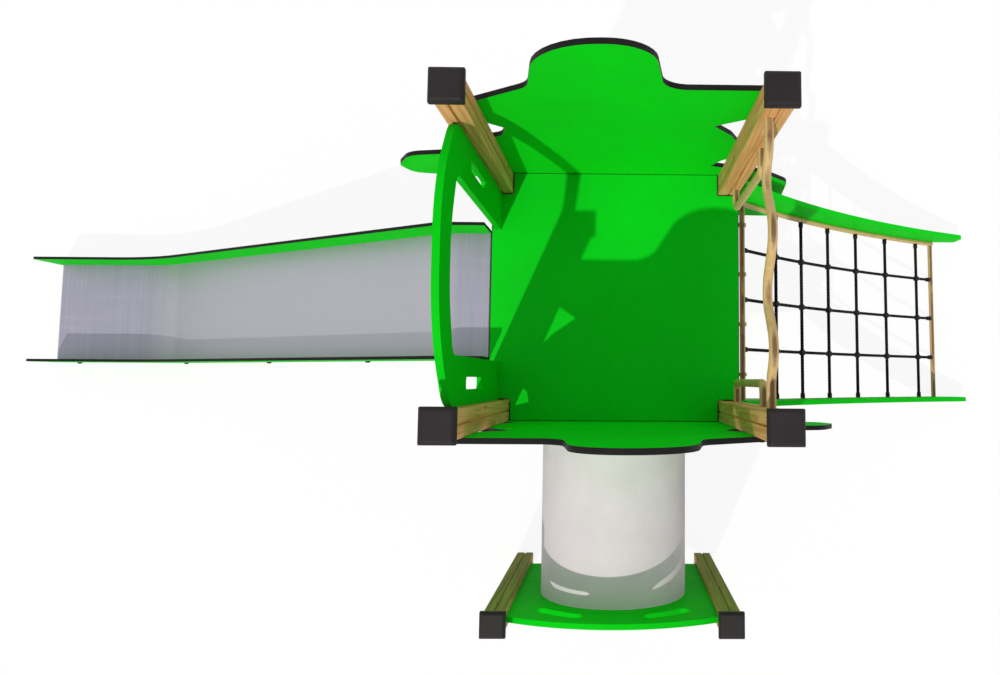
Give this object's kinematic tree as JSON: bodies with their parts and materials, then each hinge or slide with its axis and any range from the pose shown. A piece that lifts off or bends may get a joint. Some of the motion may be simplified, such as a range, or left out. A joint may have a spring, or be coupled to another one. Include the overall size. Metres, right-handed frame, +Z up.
{
  "type": "play tower with slide, climbing net and crawl tunnel",
  "caption": "Square play tower on posts with a steel slide between green side boards, an arched gate, a curved climbing net and a round crawl tunnel.",
  "frame": {"origin": "on the ground, below the middle of the deck and half-way between the four tower posts", "axes": "+X towards the climbing net, -X towards the slide, -Y towards the crawl tunnel, +Z up"},
  "size_m": [5.1783, 2.014, 2.643],
  "materials": {
    "post_wood": "oiled, open-pored",
    "cap_plastic": "satin, near black",
    "deck_board": "fine non-slip texture, dark cut edges",
    "sheet_panel": "smooth green faces, near-black cut edges",
    "green_board": "smooth, green right through",
    "slide_steel": "fine brushed stainless",
    "tube_plastic": "smooth, light grey",
    "ring_metal": "satin, dark grey",
    "tan_metal": "satin, tan powder coat",
    "rope": "twisted black cord over a steel core",
    "clamp_plastic": "satin, black",
    "bracket_metal": "zinc plated",
    "bolt_metal": "satin, near black"
  },
  "bodies": {
    "root": {"post_slide_back": "post_wood", "post_slide_front": "post_wood", "post_net_back": "post_wood", "post_net_front": "post_wood", "exit_post_slide": "post_wood", "exit_post_net": "post_wood", "tower_caps": "cap_plastic", "exit_caps": "cap_plastic", "deck": "deck_board", "beam_back": "post_wood", "beam_front": "post_wood", "beam_slide": "post_wood", "beam_net": "post_wood", "joists": "post_wood", "joist_hangers": "bracket_metal", "back_panel": "sheet_panel", "front_panel": "sheet_panel", "back_panel_bolts": "bolt_metal", "front_panel_bolts": "bolt_metal", "slide_gate": "green_board", "slide_bed": "slide_steel", "slide_side_back": "sheet_panel", "slide_side_front": "sheet_panel", "slide_crossbars": "slide_steel", "slide_bolts": "bolt_metal", "tunnel_panel": "green_board", "exit_panel": "green_board", "tunnel_tube": "tube_plastic", "tunnel_ring_tower": "ring_metal", "tunnel_ring_exit": "ring_metal", "ring_screws": "bracket_metal", "net_tube_back": "tan_metal", "net_tube_front": "tan_metal", "net_tube_top": "tan_metal", "net_tube_bottom": "tan_metal", "climbing_net": "rope", "net_clamps": "clamp_plastic", "rope_sleeves": "clamp_plastic", "net_hangers": "tan_metal", "net_board_back": "green_board", "net_board_front": "green_board", "handrail": "tan_metal", "grab_handle_back": "tan_metal", "grab_handle_front": "tan_metal", "beam_brackets": "bracket_metal", "gate_brackets": "bracket_metal", "tunnel_brackets": "bracket_metal", "exit_brackets": "bracket_metal", "net_board_brackets": "bracket_metal", "slide_brackets": "bracket_metal", "bracket_screws": "bracket_metal"}
  },
  "joints": []
}
